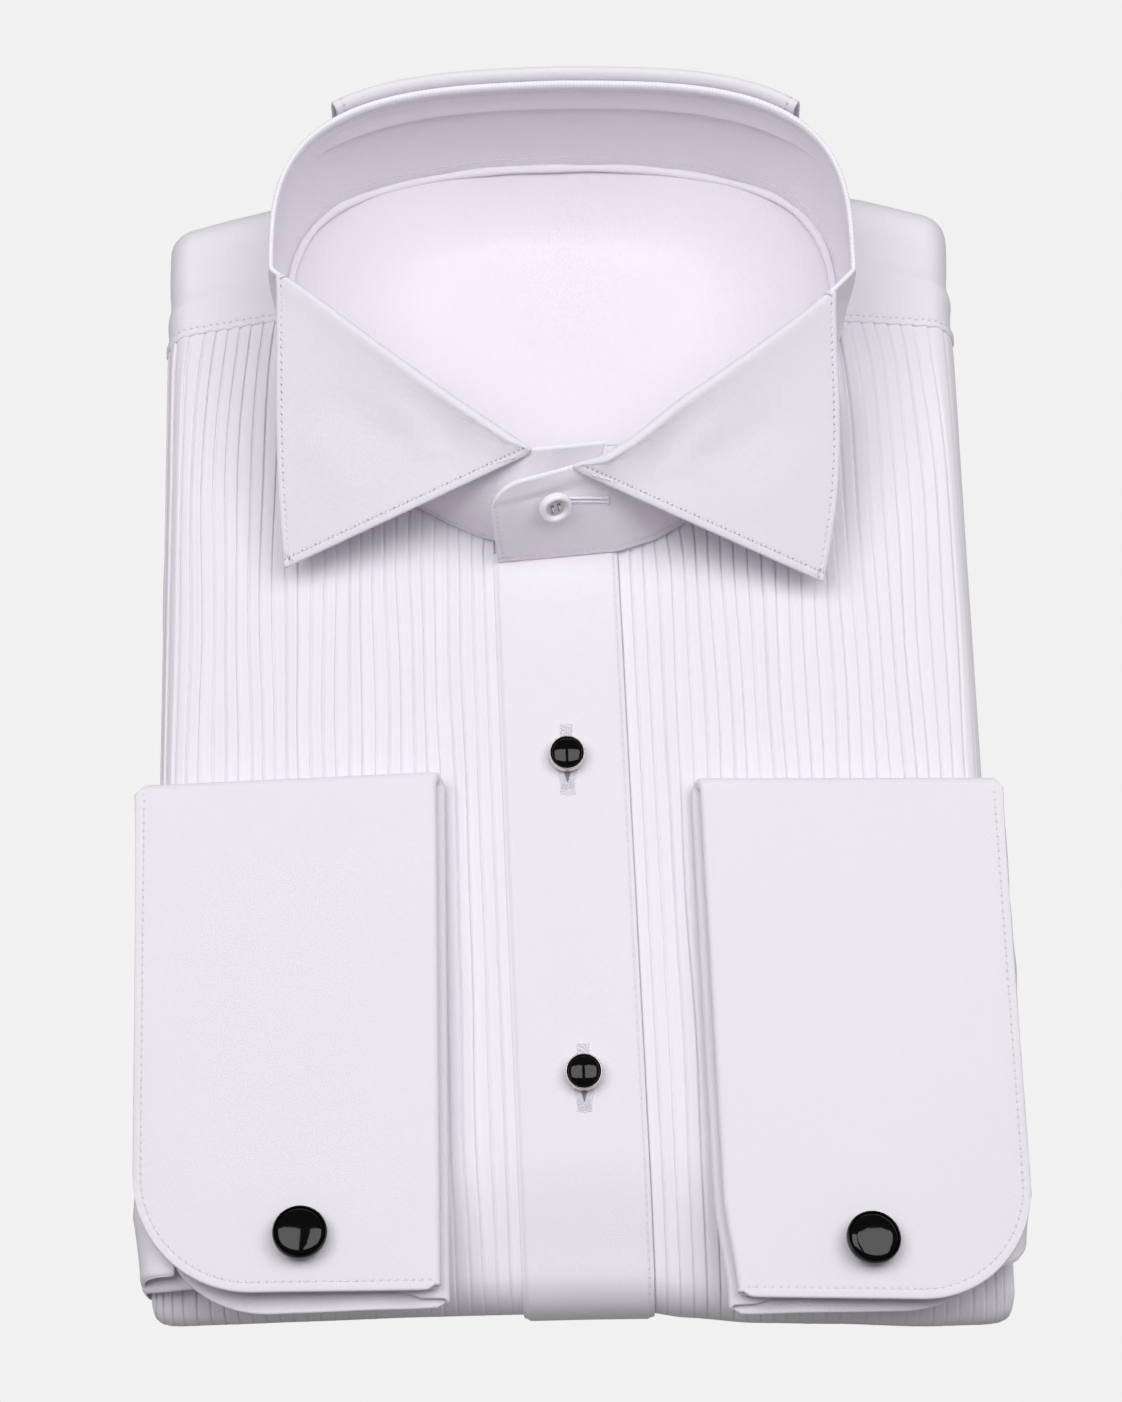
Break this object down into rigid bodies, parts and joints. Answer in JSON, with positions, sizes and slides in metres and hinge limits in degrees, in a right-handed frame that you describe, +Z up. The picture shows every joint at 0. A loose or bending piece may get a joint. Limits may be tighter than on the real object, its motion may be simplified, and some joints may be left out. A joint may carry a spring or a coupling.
{
  "type": "long sleeve dress shirt",
  "caption": "White evening dress shirt folded flat: wing collar with button, pleated front with shirt studs on a plain placket, and double cuffs with round cufflinks.",
  "frame": {"origin": "middle of the bounding box, at its base, on the surface the folded shirt lies on", "axes": "+X to the wearer's left, +Y from the near end with the cuffs to the collar, +Z up out of the shirt's front"},
  "size_m": [0.2366, 0.3502, 0.0666],
  "materials": {
    "cotton": "fine white cotton twill, matt, pressed",
    "button": "white polished button",
    "bright_metal": "polished silver-coloured rim",
    "black_face": "polished black enamel or onyx",
    "black_case": "gloss black case"
  },
  "bodies": {
    "root": {"packet_core": "cotton", "front_left": "cotton", "front_right": "cotton", "placket": "cotton", "yoke": "cotton", "yoke_lining": "cotton", "back_panel": "cotton", "sleeve_left": "cotton", "sleeve_right": "cotton", "cuff_left": "cotton", "cuff_right": "cotton", "collar_band": "cotton", "wing_left": "cotton", "wing_right": "cotton", "collar_fall": "cotton", "collar_button": "button", "stud_upper_rim": "bright_metal", "stud_upper_face": "black_face", "stud_lower_rim": "bright_metal", "stud_lower_face": "black_face", "cufflink_left_case": "black_case", "cufflink_left_face": "black_face", "cufflink_right_case": "black_case", "cufflink_right_face": "black_face"}
  },
  "joints": []
}
